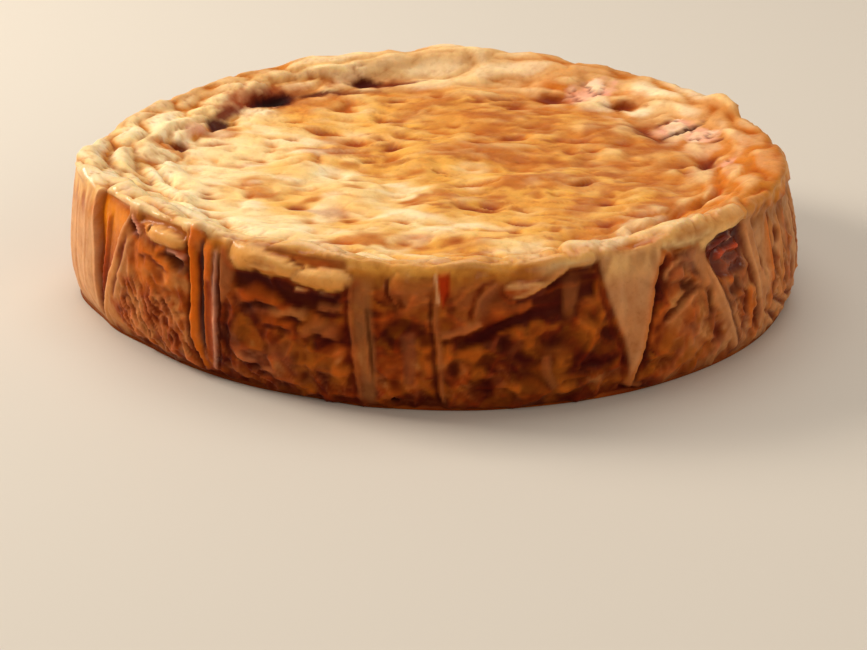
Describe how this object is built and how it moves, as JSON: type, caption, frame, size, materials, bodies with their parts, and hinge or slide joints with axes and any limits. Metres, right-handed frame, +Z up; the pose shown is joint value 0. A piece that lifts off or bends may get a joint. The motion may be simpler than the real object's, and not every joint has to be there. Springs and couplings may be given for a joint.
{
  "type": "cheesecake",
  "caption": "Whole round cheesecake baked in paper, with a sunken golden top, a puffed rim and a pleated, deeply browned side.",
  "frame": {"origin": "centre of the flat underside that the cake stands on", "axes": "+Z up; the side shown in the picture faces -Y"},
  "size_m": [0.2343, 0.2334, 0.0494],
  "materials": {
    "baked_crust": "satin"
  },
  "bodies": {
    "root": {"cheesecake": "baked_crust"}
  },
  "joints": []
}
